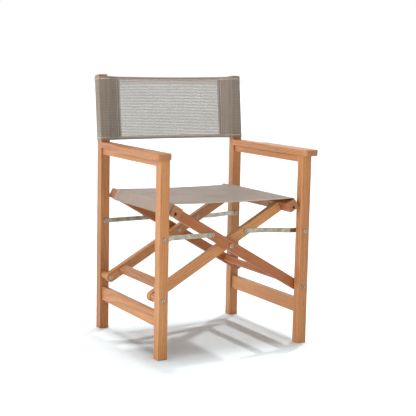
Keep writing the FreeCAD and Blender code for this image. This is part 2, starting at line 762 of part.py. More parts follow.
def sling_screws(frame):
    """Screws in the inner face of a seat rail, at its middle height."""
    pair = []
    sign, yaw = FRAMES[frame]["sign"], FRAMES[frame]["yaw"]
    reach = "(places.rail_reach - sizes.rail_width / 2)"
    across = f"{sign} * (places.half_span - {reach} * cos(places.slat_angle))"
    up = f"sizes.pivot_level + {reach} * sin(places.slat_angle)"
    for end, direction in ENDS.items():
        screw = bolt(f"sling_screw_{frame}_{end}", "sizes.sling_screw_depth", "sizes.sling_screw_head",
                     "sizes.sling_screw_diameter")
        along = f"places.mid_depth + {direction} * places.sling_screw_offset"
        place(screw, across, along, up, yaw, "-places.slat_angle - 90 deg")
        pair.append(screw)
    group("sling_screws_" + frame, pair)


# ---------------------------------------------------------------- slings
SAG_RUNS = 10                # straight runs that make up the seat's sag


def thick_strip(points, thickness):
    """A face along a path of points in the XZ plane, `thickness` to the left of its direction."""
    def left(start, end):
        run = (end - start).normalize()
        return FreeCAD.Vector(-run.z, 0, run.x)

    normals = [left(points[i], points[i + 1]) for i in range(len(points) - 1)]
    outside = []
    for i, point in enumerate(points):
        before = normals[max(i - 1, 0)]
        after = normals[min(i, len(normals) - 1)]
        mitre = (before + after).normalize()
        outside.append(point + mitre * (thickness / mitre.dot(before)))
    return Part.Face(Part.makePolygon(points + outside[::-1] + [points[0]]))


def in_rail(sign, along, square):
    """A point of a seat rail's section, from its middle: along the slat, and square to it."""
    angle = math.radians(amount("places.slat_angle"))
    reach = amount("places.rail_reach")
    span = amount("places.half_span")
    x = span - (reach + along) * math.cos(angle) + square * math.sin(angle)
    z = amount("sizes.pivot_level") + (reach + along) * math.sin(angle) + square * math.cos(angle)
    return FreeCAD.Vector(sign * x, 0, z)


def seat_sling():
    """One sheet over both rails and down their outer faces, into the slots and round the rods."""
    gap, fabric = amount("sizes.soft_gap"), amount("sizes.fabric")
    half_width = amount("sizes.rail_width") / 2 + gap
    half_height = amount("sizes.rail_height") / 2 + gap
    sag = amount("sizes.seat_sag")

    def wrap(sign):
        return [in_rail(sign, 0, -half_height), in_rail(sign, half_width, -half_height),
                in_rail(sign, half_width, half_height)]

    left, right = wrap(1), wrap(-1)[::-1]
    start, end = left[-1], right[0]
    top = []
    for i in range(1, SAG_RUNS):
        share = i / SAG_RUNS
        dip = FreeCAD.Vector(0, 0, -4 * sag * share * (1 - share))
        top.append(start + (end - start) * share + dip)
    # frame A's rail lies on the left, where its sign gives a negative x
    path = left + top + right
    depth = amount("places.seat_depth")
    sheet = thick_strip(path[::-1], -fabric).extrude(FreeCAD.Vector(0, depth, 0))
    front = amount("places.mid_depth - places.rail_length / 2 + sizes.seat_front_inset")
    rod_radius = amount("sizes.rod_diameter") / 2
    drop = amount("sizes.groove_drop")
    tongue = fabric * 2
    for sign in (1, -1):
        centre = in_rail(sign, 0, -drop)
        axis = FreeCAD.Vector(0, 1, 0)
        loop = Part.makeCylinder(rod_radius + amount("sizes.running_gap") + fabric, depth, centre, axis)
        corners = [in_rail(sign, a, s) for a, s in (
            (-tongue / 2, -half_height - fabric), (tongue / 2, -half_height - fabric),
            (tongue / 2, -drop), (-tongue / 2, -drop))]
        tab = Part.Face(Part.makePolygon(corners + [corners[0]])).extrude(FreeCAD.Vector(0, depth, 0))
        bore_through = Part.makeCylinder(rod_radius + amount("sizes.running_gap"), depth, centre, axis)
        sheet = sheet.fuse(loop.fuse(tab)).cut(bore_through)
    piece = doc.addObject("Part::Feature", "seat_sling")
    piece.Shape = sheet.removeSplitter()
    piece.Placement = FreeCAD.Placement(FreeCAD.Vector(0, front, 0), FreeCAD.Rotation())
    node("seat_sling", piece)


def back_sling():
    """A panel with a sleeve round each back post. The two layers of a sleeve meet at the seam."""
    gap, fabric = amount("sizes.soft_gap"), amount("sizes.fabric")
    depth = amount("sizes.leg_depth")
    post_outer = amount("places.half_span + sizes.leg_width / 2")
    post_inner = amount("places.half_span - sizes.leg_width / 2")
    seam = post_inner - amount("sizes.back_seam")
    throat = amount("sizes.sleeve_throat")
    half_panel = amount("sizes.back_panel") / 2
    middle = depth / 2
    lean = amount("sizes.post_recline")
    scale = math.cos(math.radians(lean))
    low = amount("sizes.back_bottom - sizes.arm_top") / scale
    high = amount("sizes.back_top - sizes.arm_top") / scale

    def section(corners):
        points = [FreeCAD.Vector(x, y, low) for x, y in corners]
        return Part.makePolygon(points + [points[0]])

    far, near = gap + fabric, gap
    right_half = [(seam, middle - half_panel), (post_inner, -far), (post_outer + far, -far),
                  (post_outer + far, depth + far), (post_inner, depth + far), (seam, middle + half_panel)]
    outline = right_half + [(-x, y) for x, y in right_half[::-1]]
    wires = [section(outline)]
    for sign in (1, -1):
        hollow = [(seam + throat, middle), (post_inner - near, -near), (post_outer + near, -near),
                  (post_outer + near, depth + near), (post_inner - near, depth + near)]
        wires.append(section([(sign * x, y) for x, y in hollow]))
    sheet = Part.Face(wires, "Part::FaceMakerBullseye").extrude(FreeCAD.Vector(0, 0, high - low))
    piece = doc.addObject("Part::Feature", "back_sling")
    piece.Shape = sheet
    foot = FreeCAD.Vector(0, amount("places.mid_depth + places.leg_face"), amount("sizes.arm_top"))
    piece.Placement = FreeCAD.Placement(foot, FreeCAD.Rotation(FreeCAD.Vector(1, 0, 0), -lean))
    node("back_sling", piece)


# ---------------------------------------------------------------- the chair
for side, sign in (("left", "-1"), ("right", "1")):
    side_frame(side, sign)
for frame in FRAMES:
    for end, direction in ENDS.items():
        slat(frame, end, direction)
    seat_rail(frame)
    crossbar(frame)
    rod(frame)
    sling_screws(frame)
pivots()
for side in ("left", "right"):
    for end in ENDS:
        brace(side, end)
brace_fasteners()
doc.recompute()
seat_sling()
back_sling()
doc.recompute()

for item in doc.Objects:
    if {"Invalid", "Error"} & set(item.State):
        raise ValueError(f"{item.Label} is {item.State}")
for name, piece in NODES.items():
    if piece.Shape.isNull() or not piece.Shape.isValid():
        raise ValueError(f"{name} has no valid shape")

os.makedirs("parts", exist_ok=True)
for name, piece in NODES.items():
    piece.Shape.exportStep(f"parts/{name}.step")
    print(name, len(piece.Shape.Solids), round(piece.Shape.Volume))
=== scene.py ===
"""Folding director chair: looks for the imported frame. Metres, same axes as the frame."""
import json
import math
import random

import bpy
from mathutils import Matrix, Vector

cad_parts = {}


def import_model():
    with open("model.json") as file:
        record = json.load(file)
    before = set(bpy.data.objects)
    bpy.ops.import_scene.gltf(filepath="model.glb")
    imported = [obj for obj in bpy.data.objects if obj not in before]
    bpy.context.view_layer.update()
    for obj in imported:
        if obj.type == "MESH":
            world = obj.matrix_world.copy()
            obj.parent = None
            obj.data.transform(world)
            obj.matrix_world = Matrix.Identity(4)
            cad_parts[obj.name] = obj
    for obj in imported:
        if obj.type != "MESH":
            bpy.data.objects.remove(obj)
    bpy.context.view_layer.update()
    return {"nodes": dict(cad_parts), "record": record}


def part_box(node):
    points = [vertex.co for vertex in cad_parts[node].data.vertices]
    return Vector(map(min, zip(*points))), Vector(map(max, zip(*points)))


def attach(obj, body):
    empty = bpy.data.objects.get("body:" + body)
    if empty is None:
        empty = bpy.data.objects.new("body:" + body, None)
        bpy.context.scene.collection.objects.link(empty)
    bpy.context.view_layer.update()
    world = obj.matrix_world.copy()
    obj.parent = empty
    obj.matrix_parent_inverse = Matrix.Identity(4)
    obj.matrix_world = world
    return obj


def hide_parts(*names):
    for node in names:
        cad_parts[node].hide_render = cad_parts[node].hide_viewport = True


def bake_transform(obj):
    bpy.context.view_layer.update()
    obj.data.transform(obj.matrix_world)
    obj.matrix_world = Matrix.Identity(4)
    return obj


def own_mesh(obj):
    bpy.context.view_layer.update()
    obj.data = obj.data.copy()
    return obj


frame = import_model()
NODES = frame["nodes"]
JOINTS = {j["name"]: j for j in frame["record"]["behaviour"]["joints"]}
MM = 0.001


# ---------------------------------------------------------------- node graphs
class Graph:
    """A material's node tree, with short calls for the nodes that are used most."""

    def __init__(self, name):
        self.material = bpy.data.materials.new(name)
        self.material.use_nodes = True
        self.tree = self.material.node_tree
        self.tree.nodes.clear()
        self.output = self.tree.nodes.new("ShaderNodeOutputMaterial")

    def add(self, kind, inputs=None, **settings):
        node = self.tree.nodes.new(kind)
        for key, value in settings.items():
            setattr(node, key, value)
        for key, value in (inputs or {}).items():
            if isinstance(value, bpy.types.NodeSocket):
                self.tree.links.new(value, node.inputs[key])
            else:
                node.inputs[key].default_value = value
        return node

    def math(self, operation, *values):
        return self.add("ShaderNodeMath", dict(enumerate(values)), operation=operation).outputs[0]

    def mix(self, share, a, b, blend="MIX"):
        node = self.add("ShaderNodeMix", {0: share, 6: a, 7: b}, data_type="RGBA", blend_type=blend)
        return node.outputs[2]

    def span(self, value, low, high, to_low=0.0, to_high=1.0, smooth=False):
        inputs = {0: value, 1: low, 2: high, 3: to_low, 4: to_high}
        kind = "SMOOTHSTEP" if smooth else "LINEAR"
        return self.add("ShaderNodeMapRange", inputs, interpolation_type=kind).outputs[0]

    def noise(self, vector, scale, detail=2.0, rough=0.5):
        inputs = {"Vector": vector, "Scale": scale, "Detail": detail, "Roughness": rough}
        return self.add("ShaderNodeTexNoise", inputs).outputs["Fac"]

    def stretch(self, vector, scale, turn=(0, 0, 0), shift=(0, 0, 0)):
        inputs = {"Vector": vector, "Location": shift, "Rotation": turn, "Scale": scale}
        return self.add("ShaderNodeMapping", inputs).outputs[0]

    def split(self, vector):
        return self.add("ShaderNodeSeparateXYZ", {0: vector}).outputs

    def corner(self, distance, low, high):
        """1 deep in a recess or a joint, 0 on open surface, judged within a distance. It masks painted
        shade.
        """
        node = self.add("ShaderNodeAmbientOcclusion", {"Distance": distance}, samples=6)
        return self.span(node.outputs["AO"], high, low, smooth=True)

    def edge(self, radius, low, high):
        """1 on an edge that turns within a radius, 0 on flat surface."""
        rounded = self.add("ShaderNodeBevel", {"Radius": radius}, samples=4).outputs[0]
        true = self.add("ShaderNodeNewGeometry").outputs["True Normal"]
        same = self.add("ShaderNodeVectorMath", {0: rounded, 1: true}, operation="DOT_PRODUCT")
        return self.span(same.outputs["Value"], high, low)

    def bump(self, height, strength, distance):
        inputs = {"Height": height, "Strength": strength, "Distance": distance}
        return self.add("ShaderNodeBump", inputs).outputs[0]

    def finish(self, **sockets):
        """The material, with a shader whose sockets are named with _ for each space."""
        inputs = {key.replace("_", " "): value for key, value in sockets.items()}
        shader = self.add("ShaderNodeBsdfPrincipled", inputs)
        self.tree.links.new(shader.outputs[0], self.output.inputs[0])
        return self.material


def rgb(r, g, b):
    """A colour given as it appears on a screen, from 0 to 255."""
    def linear(v):
        v /= 255
        return v / 12.92 if v <= 0.04045 else ((v + 0.055) / 1.055) ** 2.4
    return (linear(r), linear(g), linear(b), 1.0)


# ---------------------------------------------------------------- wood
WOODS = {
    # light, middle, and the dark line at the end of a year's growth
    "golden": (rgb(212, 157, 98), rgb(195, 134, 76), rgb(142, 84, 40)),
    "red": (rgb(200, 131, 74), rgb(178, 107, 55), rgb(122, 66, 32)),
}
PORE = rgb(92, 52, 27)
BLOTCH = rgb(176, 104, 58)
CUT_END = rgb(150, 98, 60)
RUBBED = rgb(236, 190, 138)
# the colour of the painted shade in the wood's joints and corners
JOINT_SHADE = rgb(84, 44, 22)
BOARD_SPREAD = (0.94, 1.04)      # how far one board's shade strays from the next
PITH_AWAY = (0.07, 0.13)         # from a board's middle to its pith
FLAT_SAWN_PITH = (math.radians(97), 0.040)
RING_SPACING = (0.0038, 0.0052)


def wood(name, kind, length_axis, seed, shade, figure, flat_sawn):
    """Hardwood. The growth rings run round a pith that lies beside the board and along length_axis,
    so a face shows lines and an end shows arcs. On a flat-sawn board the pith lies close behind it,
    and its front shows nested arches. A lower `shade` is a darker board, and `figure` is how strongly
    its rings show."""
    g = Graph(name)
    rnd = random.Random(seed)
    shade *= rnd.uniform(*BOARD_SPREAD)
    # a darker board is a redder one too
    tone = (shade, shade ** 1.5, shade ** 1.6, 1.0)
    light, middle, dark = (tuple(c * t for c, t in zip(colour, tone)) for colour in WOODS[kind])
    axis = Vector(length_axis).normalized()
    turn = axis.rotation_difference(Vector((0, 0, 1))).to_euler()
    coords = g.add("ShaderNodeTexCoord")
    shift = [rnd.uniform(-3, 3) for _ in range(3)]
    place = g.stretch(coords.outputs["Object"], (1, 1, 1), tuple(turn), shift)
    # slow waver of the grain along the board
    waver = g.noise(g.stretch(place, (6, 6, 4.2 if flat_sawn else 1.1)), 1.0, 2.0)
    fine = g.noise(g.stretch(place, (60, 60, 5)), 1.0, 3.0)
    x, y, _ = g.split(place)
    push = g.math("MULTIPLY", g.math("SUBTRACT", waver, 0.5), 0.050)
    push = g.math("ADD", push, g.math("MULTIPLY", g.math("SUBTRACT", fine, 0.5), 0.0028))
    pith, away = rnd.uniform(0, math.tau), rnd.uniform(*PITH_AWAY)
    if flat_sawn:
        pith, away = FLAT_SAWN_PITH
    px = g.math("ADD", g.math("SUBTRACT", x, shift[0] + away * math.cos(pith)), push)
    py = g.math("ADD", g.math("SUBTRACT", y, shift[1] + away * math.sin(pith)), push)
    radius = g.math("SQRT", g.math("ADD", g.math("MULTIPLY", px, px), g.math("MULTIPLY", py, py)))
    spacing = rnd.uniform(*RING_SPACING)
    ring = g.math("FRACT", g.math("DIVIDE", radius, spacing))
    line = g.math("MULTIPLY", g.span(ring, 0.35, 0.93, smooth=True), g.span(ring, 1.0, 0.93))
    # broad streaks of tone, and hair-thin ones
    streak = g.noise(g.stretch(place, (38, 38, 0.9)), 1.0, 3.0, 0.6)
    hair = g.noise(g.stretch(place, (420, 420, 7)), 1.0, 3.0, 0.65)
    pores = g.noise(g.stretch(place, (900, 900, 42)), 1.0, 1.0, 0.5)
    pore = g.span(pores, 0.60, 0.70)
    colour = g.mix(g.span(streak, 0.30, 0.72), light, middle)
    colour = g.mix(g.math("MULTIPLY", line, figure), colour, dark)
    colour = g.mix(g.math("MULTIPLY", g.span(hair, 0.45, 0.72), 0.42), colour, dark)
    colour = g.mix(g.math("MULTIPLY", pore, 0.50), colour, PORE)
    blotch = g.noise(g.stretch(place, (9, 9, 2.2)), 1.0, 2.0)
    colour = g.mix(g.span(blotch, 0.35, 0.7, 0.0, 0.22), colour, BLOTCH, "MULTIPLY")
    # cut ends drink more oil and look darker
    facing = g.add("ShaderNodeVectorMath", {0: coords.outputs["Normal"], 1: tuple(axis)},
                   operation="DOT_PRODUCT").outputs["Value"]
    end = g.span(g.math("ABSOLUTE", facing), 0.75, 0.95)
    colour = g.mix(g.math("MULTIPLY", end, 0.70), colour, CUT_END)
    # hands and floors polish the eased edges paler
    edge = g.edge(0.0022, 0.86, 0.995)
    rub = g.math("MULTIPLY", edge, g.span(g.noise(place, 55.0, 3.0), 0.38, 0.62))
    colour = g.mix(g.math("MULTIPLY", rub, 0.42), colour, RUBBED)
    # painted shade, darker in the joints and corners that the occlusion mask finds
    colour = g.mix(g.math("MULTIPLY", g.corner(0.012, 0.30, 0.62), 0.72), colour, JOINT_SHADE)
    rough = g.span(hair, 0.2, 0.8, 0.38, 0.54)
    rough = g.math("ADD", rough, g.math("MULTIPLY", end, 0.15))
    height = g.math("SUBTRACT", g.math("MULTIPLY", g.math("SUBTRACT", 1.0, line), 0.25),
                    g.math("ADD", g.math("MULTIPLY", pore, 0.9), g.math("MULTIPLY", hair, 0.35)))
    normal = g.bump(height, 0.30, 0.00035)
    return g.finish(Base_Color=colour, Roughness=rough, Normal=normal, Specular_IOR_Level=0.45)


# ---------------------------------------------------------------- metal and plastic
ZINC = (rgb(180, 170, 152), rgb(128, 118, 101))
ZINC_FLAKE = rgb(215, 212, 200)
ZINC_STAIN = rgb(118, 96, 66)
ZINC_RUBBED = rgb(226, 224, 216)
# the colour of the painted shade in sockets and recesses
SOCKET_SHADE = rgb(34, 30, 26)


def zinc(name, scratch_axis, seed):
    """Dull zinc plating on pressed steel, with rolling marks along one axis and rubbed edges, and
    painted shade in its sockets.
    """
    g = Graph(name)
    coords = g.add("ShaderNodeTexCoord").outputs["Object"]
    turn = Vector(scratch_axis).normalized().rotation_difference(Vector((0, 0, 1))).to_euler()
    place = g.stretch(coords, (1, 1, 1), tuple(turn), (seed, seed * 0.7, seed * 1.3))
    marks = g.noise(g.stretch(place, (1500, 1500, 30)), 1.0, 3.0, 0.6)
    cloud = g.noise(place, 90.0, 4.0, 0.6)
    cells = g.add("ShaderNodeTexVoronoi", {"Vector": place, "Scale": 520.0}).outputs["Color"]
    flake = g.split(cells)[0]
    colour = g.mix(g.span(cloud, 0.3, 0.7), *ZINC)
    colour = g.mix(g.math("MULTIPLY", flake, 0.16), colour, ZINC_FLAKE)
    stain = g.noise(place, 33.0, 3.0)
    colour = g.mix(g.span(stain, 0.50, 0.75, 0.0, 0.7), colour, ZINC_STAIN)
    colour = g.mix(g.math("MULTIPLY", g.edge(0.0006, 0.8, 0.99), 0.5), colour, ZINC_RUBBED)
    # painted shade, darker in sockets and recesses that the occlusion mask finds
    colour = g.mix(g.math("MULTIPLY", g.corner(0.004, 0.25, 0.60), 0.92), colour, SOCKET_SHADE)
    rough = g.span(marks, 0.25, 0.75, 0.16, 0.34)
    normal = g.bump(g.math("ADD", marks, g.math("MULTIPLY", flake, 0.3)), 0.16, 0.00012)
    return g.finish(Base_Color=colour, Roughness=rough, Metallic=1.0, Normal=normal)


def plastic(name):
    """Dark extruded rod with faint draw lines."""
    g = Graph(name)
    coords = g.add("ShaderNodeTexCoord").outputs["Object"]
    lines = g.noise(g.stretch(coords, (1600, 12, 1600)), 1.0, 2.0)
    dust = g.noise(coords, 240.0, 3.0)
    colour = g.mix(g.span(dust, 0.45, 0.75, 0.0, 0.4), rgb(38, 35, 33), rgb(84, 78, 70))
    rough = g.span(lines, 0.3, 0.7, 0.42, 0.62)
    return g.finish(Base_Color=colour, Roughness=rough, Normal=g.bump(lines, 0.2, 0.0001))


# ---------------------------------------------------------------- fabric
PITCH = 1.75 * MM     # from one yarn to the next
RIB = 3               # every third yarn is a heavier one
YARNS = ((184, 167, 152), (163, 146, 131), (114, 99, 87))      # light, taupe, deep
HANDLED = rgb(120, 108, 96)
THREAD = (rgb(240, 234, 224), rgb(214, 205, 192))
NO_SLEEVE = 9.0       # farther along u than any cloth here


def mesh_fabric(name, doubled_beyond, sleeve_beyond=NO_SLEEVE, fuller=0.0, tint=1.0):
    """Coated yarns woven in an open net. UV is in metres along the cloth, from its middle.
    Beyond doubled_beyond, along v, the cloth is a folded hem of two layers. Beyond sleeve_beyond,
    along u, two layers lie close, and their yarns fill some of each other's gaps. `fuller` widens
    every yarn, in pitches to each side. `tint` lightens or darkens them."""
    g = Graph(name)
    uv = g.add("ShaderNodeUVMap", uv_map="UVMap").outputs[0]
    u, v, _ = g.split(uv)
    wander = g.math("MULTIPLY", g.math("SUBTRACT", g.noise(uv, 5.0, 1.0), 0.5), 0.5 * PITCH)
    across = g.math("DIVIDE", g.math("ADD", u, wander), PITCH)
    along = g.math("DIVIDE", g.math("ADD", v, wander), PITCH)

    def crown(coordinate, half_width):
        """1 on the crown of a yarn, 0 from its edge to the next yarn."""
        off = g.math("ABSOLUTE", g.math("SUBTRACT", g.math("FRACT", coordinate), 0.5))
        return g.math("MAXIMUM", g.math("SUBTRACT", 1.0, g.math("DIVIDE", off, half_width)), 0.0)

    def heavier(coordinate):
        """1 on each heavy yarn, 0 on the others."""
        place = g.math("ABSOLUTE", g.math("MODULO", g.math("FLOOR", coordinate), float(RIB)))
        return g.math("LESS_THAN", place, 0.5)

    warp_rib, weft_rib = heavier(across), heavier(along)
    warp = crown(across, g.math("MULTIPLY_ADD", warp_rib, 0.07, 0.16 + fuller))
    weft = crown(along, g.math("MULTIPLY_ADD", weft_rib, 0.24 - fuller, 0.12 + fuller))
    parity = g.math("ABSOLUTE", g.math("MODULO", g.math("ADD", g.math("FLOOR", across),
                                                        g.math("FLOOR", along)), 2.0))
    over = g.math("MULTIPLY", warp, g.math("MULTIPLY_ADD", parity, 0.38, 0.62))
    under = g.math("MULTIPLY", weft, g.math("MULTIPLY_ADD", parity, -0.38, 1.0))
    height = g.math("MAXIMUM", g.math("SQRT", over), g.math("SQRT", under))
    # a hem's second layer lies half a yarn off the first
    in_hem = g.math("GREATER_THAN", g.math("ABSOLUTE", v), doubled_beyond)
    second = g.math("MAXIMUM", crown(g.math("ADD", across, 0.5), 0.24),
                    crown(g.math("ADD", along, 0.4), 0.24))
    in_sleeve = g.math("GREATER_THAN", g.math("ABSOLUTE", u), sleeve_beyond)
    close = g.math("MULTIPLY", in_sleeve, crown(g.math("ADD", across, 0.5), 0.16))
    filled = g.math("MAXIMUM", height, g.math("MULTIPLY", second, in_hem))
    filled = g.math("MAXIMUM", filled, close)

    def shade(colour):
        return tuple(c * tint for c in colour[:3]) + (1.0,)

    def tone(coordinate):
        """A yarn's own number, from 0 to 1."""
        return g.add("ShaderNodeTexWhiteNoise", {"W": g.math("FLOOR", coordinate)},
                     noise_dimensions="1D").outputs["Value"]

    light, taupe, deep = (shade(rgb(*colour)) for colour in YARNS)
    warp_colour = g.mix(g.math("MULTIPLY", tone(across), 0.35), light, taupe)
    weft_colour = g.mix(g.math("MULTIPLY", tone(along), 0.35), taupe, light)
    colour = g.mix(g.math("GREATER_THAN", over, under), weft_colour, warp_colour)
    colour = g.mix(g.math("MULTIPLY", weft_rib, 0.45), colour, deep)
    # painted shade, darker where a yarn falls away at its edges and dips under the next
    colour = g.mix(g.span(filled, 0.5, 0.0, 0.0, 0.5), colour, deep)
    # painted shade, the hem's two layers darker than one
    colour = g.mix(g.math("MULTIPLY", in_hem, 0.22), colour, deep)
    # painted shade, the sleeves darkened in streaks for the shade inside them round the posts
    streak = g.noise(g.stretch(uv, (260, 5, 1)), 1.0, 2.0)
    colour = g.mix(g.math("MULTIPLY", in_sleeve, g.span(streak, 0.35, 0.65, 0.0, 0.45)), colour, deep)
    handled = g.noise(uv, 9.0, 3.0)
    colour = g.mix(g.span(handled, 0.45, 0.75, 0.0, 0.16), colour, HANDLED)
    rough = g.span(handled, 0.3, 0.7, 0.50, 0.64)
    normal = g.bump(filled, 0.75, 0.0004)
    return g.finish(Base_Color=colour, Roughness=rough, Normal=normal, Specular_IOR_Level=0.35,
                    Sheen_Weight=0.1, Alpha=g.math("GREATER_THAN", filled, 0.02))


def thread(name):
    """Pale twisted sewing thread."""
    g = Graph(name)
    coords = g.add("ShaderNodeTexCoord").outputs["Object"]
    twist = g.noise(g.stretch(coords, (900, 900, 900)), 1.0, 2.0)
    colour = g.mix(g.span(twist, 0.3, 0.7), *THREAD)
    normal = g.bump(twist, 0.4, 0.0001)
    return g.finish(Base_Color=colour, Roughness=0.7, Normal=normal, Sheen_Weight=0.2)


def stage_paint():
    """The floor's near-white paint, faintly lit from within so that shadows stay pale."""
    g = Graph("stage_paint")
    coords = g.add("ShaderNodeTexCoord").outputs["Object"]
    tone = g.noise(coords, 3.0, 2.0)
    colour = g.mix(g.span(tone, 0.3, 0.7), rgb(238, 247, 250), rgb(240, 249, 252))
    return g.finish(Base_Color=colour, Roughness=0.9, Specular_IOR_Level=0.0,
                    Emission_Color=(1, 1, 1, 1), Emission_Strength=0.05)


# ---------------------------------------------------------------- the frame's own nodes
def pos(joint):
    return Vector(JOINTS[joint]["pos_m"])


HALF_SPAN = pos("right_pivot").x
PIVOT = pos("fold").z
SLAT_ANGLE = math.atan((pos("crossing").z - PIVOT) / HALF_SPAN)
UP_A = Vector((-math.cos(SLAT_ANGLE), 0, math.sin(SLAT_ANGLE)))
UP_B = Vector((math.cos(SLAT_ANGLE), 0, math.sin(SLAT_ANGLE)))


def paint(node, material):
    mesh = NODES[node].data
    mesh.materials.clear()
    mesh.materials.append(material)


# each board's shade, where less is darker, how strongly its rings show, and whether it is flat-sawn
BOARDS = {
    "front_leg_left": (0.88, 0.34, False),
    "front_leg_right": (0.82, 0.40, False),
    "rear_leg_left": (0.83, 0.95, True),
    "rear_leg_right": (0.86, 0.42, False),
    "slat_b_front": (0.99, 0.42, False),
    "slat_b_rear": (0.84, 0.40, False),
    "stretcher_left": (0.91, 0.42, False),
    "slat_a_rear": (0.86, 0.45, False),
}
PLAIN_BOARD = (0.85, 0.42, False)
FIRST_SEED = 12


def dress():
    """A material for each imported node. Every node has its own seed, so no two boards match."""
    along, across, upright = (1, 0, 0), (0, 1, 0), (0, 0, 1)
    kinds = {
        "arm_dowels": ("golden", across),
        "front_leg": ("golden", upright),
        "rear_leg": ("golden", upright),
        "arm_": ("golden", across),
        "stretcher": ("golden", across),
        "slat_a": ("red", UP_A),
        "slat_b": ("golden", UP_B),
        "crossbar_b": ("golden", across),
        "crossbar_a": ("red", across),
        "seat_rail": ("red", across),
        "left_pivot_spacers": ("golden", across),
        "crossing_spacers": ("red", across),
    }
    for seed, node in enumerate(NODES, FIRST_SEED):
        board = next((kind for start, kind in kinds.items() if node.startswith(start)), None)
        if board:
            shade, figure, flat_sawn = BOARDS.get(node, PLAIN_BOARD)
            paint(node, wood(node + "_wood", board[0], board[1], seed, shade, figure, flat_sawn))
        elif node.startswith("sling_rod"):
            paint(node, plastic(node + "_plastic"))
        elif node.startswith(("brace_front", "brace_rear")):
            paint(node, zinc(node + "_zinc", along, seed))
        elif node not in ("seat_sling", "back_sling"):
            paint(node, zinc(node + "_zinc", across, seed))


# ---------------------------------------------------------------- cloth pieces
FABRIC = 0.75 * MM    # one layer's thickness
LIFT = 0.95 * MM      # wood to the middle of the fabric
PROUD = FABRIC * 0.97  # the middle of the fabric to the thread on it
HEM_STITCH = (3.6 * MM, 0.7 * MM, 1.4 * MM)      # length, gap, width
SEAM_STITCH = (3.4 * MM, 0.7 * MM, 1.5 * MM)


def new_object(name, verts, faces, uvs=None):
    mesh = bpy.data.meshes.new(name)
    mesh.from_pydata([tuple(v) for v in verts], [], faces)
    if uvs is not None:
        layer = mesh.uv_layers.new(name="UVMap")
        for polygon in mesh.polygons:
            for loop, vertex in zip(polygon.loop_indices, polygon.vertices):
                layer.data[loop].uv = uvs[vertex]
    mesh.polygons.foreach_set("use_smooth", [True] * len(mesh.polygons))
    mesh.update()
    obj = bpy.data.objects.new(name, mesh)
    bpy.context.scene.collection.objects.link(obj)
    return obj


def rounded_path(corners, radius, arc_steps=5):
    """Points along a polyline in a plane, its inner corners rounded to a radius."""
    points = [Vector(corners[0])]
    for before, corner, after in zip(corners, corners[1:], corners[2:]):
        a = Vector(before) - Vector(corner)
        b = Vector(after) - Vector(corner)
        angle = a.angle(b)
        reach = min(radius / math.tan(angle / 2), a.length * 0.49, b.length * 0.49)
        start = Vector(corner) + a.normalized() * reach
        end = Vector(corner) + b.normalized() * reach
        for i in range(arc_steps + 1):
            t = i / arc_steps
            p = start.lerp(Vector(corner), t).lerp(Vector(corner).lerp(end, t), t)
            points.append(p)
    points.append(Vector(corners[-1]))
    return points


def resample(points, step):
    """The same path with long runs divided, and each point's distance from the start."""
    out = [points[0]]
    for a, b in zip(points, points[1:]):
        parts = max(1, round((b - a).length / step))
        for i in range(1, parts + 1):
            out.append(a.lerp(b, i / parts))
    run, total = [0.0], 0.0
    for a, b in zip(out, out[1:]):
        total += (b - a).length
        run.append(total)
    return out, run


def cloth(name, columns, rows, place, thickness, uv):
    """A closed sheet. place(i, j) is a point of its middle surface; thickness(i, j) its thickness."""
    grid = [[place(i, j) for j in range(rows)] for i in range(columns)]
    verts, uvs = [], []
    for side in (0.5, -0.5):
        for i in range(columns):
            for j in range(rows):
                du = grid[min(i + 1, columns - 1)][j] - grid[max(i - 1, 0)][j]
                dv = grid[i][min(j + 1, rows - 1)] - grid[i][max(j - 1, 0)]
                normal = du.cross(dv).normalized()
                verts.append(grid[i][j] + normal * thickness(i, j) * side)
                uvs.append(uv(i, j))
    count = columns * rows
    faces = []
    for i in range(columns - 1):
        for j in range(rows - 1):
            a, b = i * rows + j, (i + 1) * rows + j
            faces.append((a, b, b + 1, a + 1))
            faces.append((count + a, count + a + 1, count + b + 1, count + b))
    rim = [i * rows for i in range(columns)]
    rim += [(columns - 1) * rows + j for j in range(1, rows)]
    rim += [i * rows + rows - 1 for i in range(columns - 2, -1, -1)]
    rim += list(range(rows - 2, 0, -1))
    for a, b in zip(rim, rim[1:] + rim[:1]):
        faces.append((b, a, count + a, count + b))
    return new_object(name, verts, faces, uvs)


def hem_rows(length, hem, step):
    """Positions across a strip: close rows at both folded edges and at the hems' inner edges."""
    near = [0.0, 0.5 * MM, 1.4 * MM, 3 * MM, hem / 2, hem - 1.6 * MM, hem - 0.7 * MM, hem + 0.3 * MM,
            hem + 1.5 * MM]
    first, last = near[-1], length - near[-1]
    parts = round((last - first) / step)
    middle = [first + (last - first) * k / parts for k in range(1, parts)]
    return near + middle + [length - d for d in reversed(near)]


def hem_thickness(d, length, hem):
    """Two layers in the hem, round at the fold, one layer inside."""
    edge = min(d, length - d)
    if edge < 1.4 * MM:
        share = edge / (1.4 * MM)
        return FABRIC * (0.9 + 1.0 * math.sqrt(max(share, 0.0) * (2 - share)))
    if edge < hem - 0.7 * MM:
        return FABRIC * 1.9
    if edge < hem + 0.3 * MM:
        return FABRIC * (1.9 - 0.9 * (edge - hem + 0.7 * MM) / (1.0 * MM))
    return FABRIC


